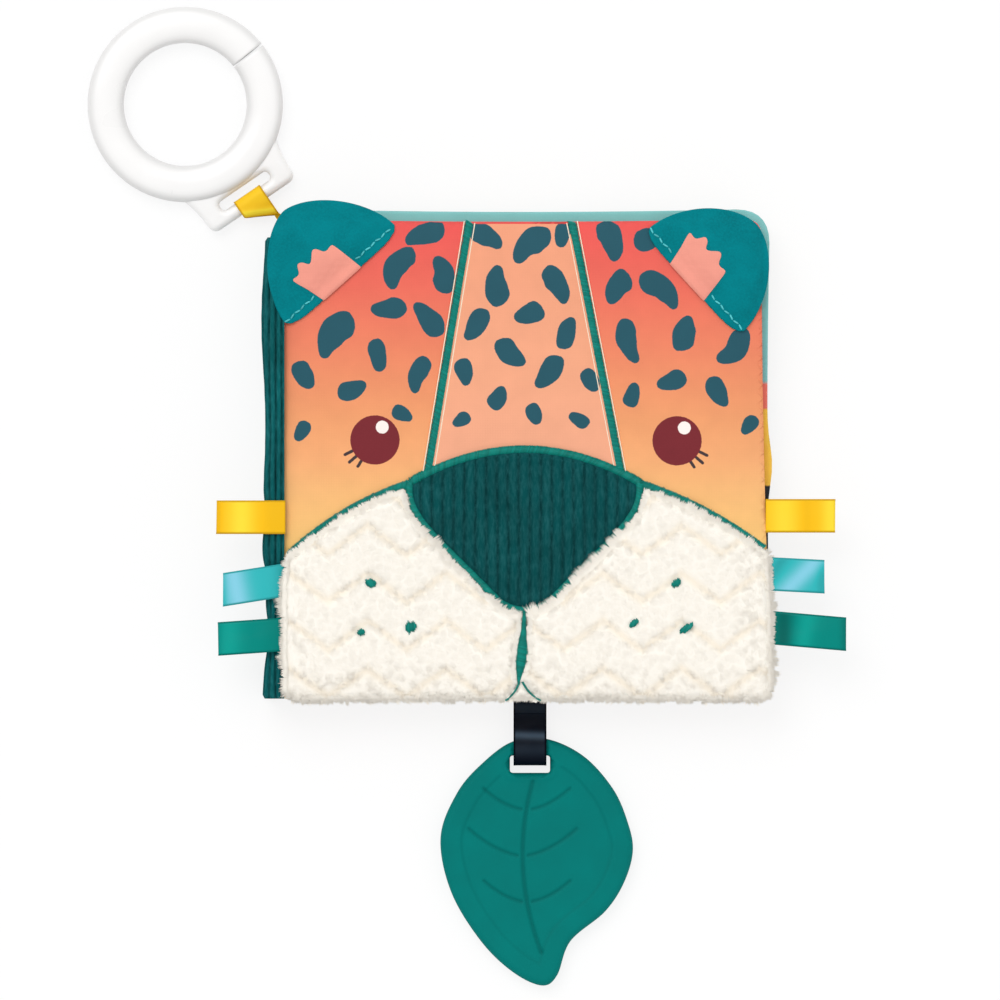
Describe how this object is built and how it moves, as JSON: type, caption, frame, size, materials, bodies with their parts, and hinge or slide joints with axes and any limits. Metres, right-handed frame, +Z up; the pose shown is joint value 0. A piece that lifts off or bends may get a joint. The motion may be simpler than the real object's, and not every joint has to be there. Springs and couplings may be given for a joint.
{
  "type": "baby activity book",
  "caption": "Soft cloth baby book shaped as a spotted cat's face, with padded pages, flap ears, ribbon tags, a leaf teether and a split ring.",
  "frame": {"origin": "middle of the back cover's flat underside", "axes": "+X from the spine to the free edge, +Y to the top of the face, +Z up through the closed book"},
  "size_m": [0.2717, 0.3506, 0.0273],
  "materials": {
    "printed_cloth": "plain-woven polyester cloth, printed",
    "peach_cloth": "plain-woven polyester cloth, printed",
    "page_cloth": "plain-woven polyester cloth",
    "corduroy": "wide-wale cotton corduroy",
    "ear_cloth": "short-pile polyester velour",
    "inner_ear_cloth": "plain-woven polyester cloth, printed",
    "plush": "cut-pile polyester plush",
    "wadding": "polyester fibre wadding",
    "crinkle_film": "thin polyester film",
    "silicone": "moulded silicone rubber, matt",
    "white_plastic": "moulded ABS, satin",
    "navy_satin": "woven polyester satin ribbon",
    "yellow_satin": "woven polyester satin ribbon",
    "turquoise_satin": "woven polyester satin ribbon",
    "green_satin": "woven polyester satin ribbon"
  },
  "bodies": {
    "back_cover": {"back_cover_cloth": "corduroy", "back_cover_lining": "page_cloth", "back_cover_wadding": "wadding", "back_margin_strip": "corduroy"},
    "spine": {"spine_cloth": "corduroy"},
    "front_cover": {"front_cover_cloth": "printed_cloth", "front_cover_lining": "page_cloth", "front_cover_wadding": "wadding", "front_margin_strip": "corduroy", "forehead_panel": "peach_cloth", "nose": "corduroy", "muzzle_left": "plush", "muzzle_right": "plush", "ear_hem_left": "ear_cloth", "ear_hem_right": "ear_cloth"},
    "page_1": {"page_1_front_cloth": "page_cloth", "page_1_back_cloth": "page_cloth", "page_1_crinkle_film": "crinkle_film", "page_1_wadding": "wadding"},
    "page_2": {"page_2_front_cloth": "page_cloth", "page_2_back_cloth": "page_cloth", "page_2_crinkle_film": "crinkle_film", "page_2_wadding": "wadding"},
    "ear_left": {"ear_left": "ear_cloth", "inner_ear_left": "inner_ear_cloth"},
    "ear_right": {"ear_right": "ear_cloth", "inner_ear_right": "inner_ear_cloth"},
    "tag_left_yellow": {"tag_left_yellow": "yellow_satin"},
    "tag_left_turquoise": {"tag_left_turquoise": "turquoise_satin"},
    "tag_left_green": {"tag_left_green": "green_satin"},
    "tag_right_yellow": {"tag_right_yellow": "yellow_satin"},
    "tag_right_turquoise": {"tag_right_turquoise": "turquoise_satin"},
    "tag_right_green": {"tag_right_green": "green_satin"},
    "teether_strap": {"teether_strap": "navy_satin"},
    "teether": {"leaf_teether": "silicone", "teether_loop": "navy_satin"},
    "ring_strap": {"ring_strap": "yellow_satin"},
    "ring": {"ring": "white_plastic"}
  },
  "joints": [
    {"name": "front_cover_turn", "type": "hinge", "parent": "spine", "child": "front_cover", "pos_m": [-0.0888, 0, 0.0199], "axis": [0, -1, 0], "range_deg": [0, 84]},
    {"name": "spine_fold", "type": "hinge", "parent": "back_cover", "child": "spine", "pos_m": [-0.0888, 0, 0.003], "axis": [0, -1, 0], "range_deg": [0, 68.73]},
    {"name": "page_1_turn", "type": "hinge", "parent": "spine", "child": "page_1", "pos_m": [-0.08617, 0, 0.0141], "axis": [0, -1, 0], "range_deg": [0, 33.41]},
    {"name": "page_2_turn", "type": "hinge", "parent": "spine", "child": "page_2", "pos_m": [-0.08617, 0, 0.0088], "axis": [0, -1, 0], "range_deg": [-18.14, 0]},
    {"name": "ear_left_flap", "type": "hinge", "parent": "front_cover", "child": "ear_left", "pos_m": [-0.0644, 0.0661, 0.0238], "axis": [-0.7455, -0.6665, 0], "range_deg": [-110, 0]},
    {"name": "ear_right_flap", "type": "hinge", "parent": "front_cover", "child": "ear_right", "pos_m": [0.0631, 0.0641, 0.0238], "axis": [-0.6756, 0.7373, 0], "range_deg": [-110, 0]},
    {"name": "tag_left_yellow_bend", "type": "hinge", "parent": "front_cover", "child": "tag_left_yellow", "pos_m": [-0.0848, -0.0208, 0.0235], "axis": [0, -1, 0], "range_deg": [-80, 0], "stiffness_Nm_per_rad": 0.0002},
    {"name": "tag_left_turquoise_bend", "type": "hinge", "parent": "front_cover", "child": "tag_left_turquoise", "pos_m": [-0.0848, -0.0432, 0.0235], "axis": [0, -1, 0], "range_deg": [-80, 0], "stiffness_Nm_per_rad": 0.0002},
    {"name": "tag_left_green_bend", "type": "hinge", "parent": "front_cover", "child": "tag_left_green", "pos_m": [-0.0848, -0.0626, 0.0235], "axis": [0, -1, 0], "range_deg": [-80, 0], "stiffness_Nm_per_rad": 0.0002},
    {"name": "tag_right_yellow_bend", "type": "hinge", "parent": "front_cover", "child": "tag_right_yellow", "pos_m": [0.08959, -0.0203, 0.0199], "axis": [0, 1, 0], "range_deg": [-85, 48], "stiffness_Nm_per_rad": 0.0002},
    {"name": "tag_right_turquoise_bend", "type": "hinge", "parent": "front_cover", "child": "tag_right_turquoise", "pos_m": [0.09026, -0.041, 0.0199], "axis": [0, 1, 0], "range_deg": [-85, 48], "stiffness_Nm_per_rad": 0.0002},
    {"name": "tag_right_green_bend", "type": "hinge", "parent": "front_cover", "child": "tag_right_green", "pos_m": [0.09102, -0.0602, 0.0199], "axis": [0, 1, 0], "range_deg": [-85, 48], "stiffness_Nm_per_rad": 0.0002},
    {"name": "teether_strap_bend", "type": "hinge", "parent": "back_cover", "child": "teether_strap", "pos_m": [0.0036, -0.0862, 0.0035], "axis": [-1, 0, 0], "range_deg": [0, 70]},
    {"name": "teether_swing", "type": "hinge", "parent": "teether_strap", "child": "teether", "pos_m": [0.0036, -0.0965, 0.0035], "axis": [1, 0, 0], "range_deg": [-90, 0]},
    {"name": "ring_strap_bend", "type": "hinge", "parent": "back_cover", "child": "ring_strap", "pos_m": [-0.08944, 0.08273, 0.0034], "axis": [-0.8241, -0.5664, 0], "range_deg": [-45, 0]},
    {"name": "ring_swing", "type": "hinge", "parent": "ring_strap", "child": "ring", "pos_m": [-0.09623, 0.09262, 0.0034], "axis": [-0.8241, -0.5664, 0], "range_deg": [-70, 0]}
  ],
  "couplings": [
    {"joint": "spine_fold", "follows": "front_cover_turn", "ratio": 0.81818},
    {"joint": "page_1_turn", "follows": "front_cover_turn", "ratio": 0.39773},
    {"joint": "page_2_turn", "follows": "front_cover_turn", "ratio": -0.21591}
  ]
}
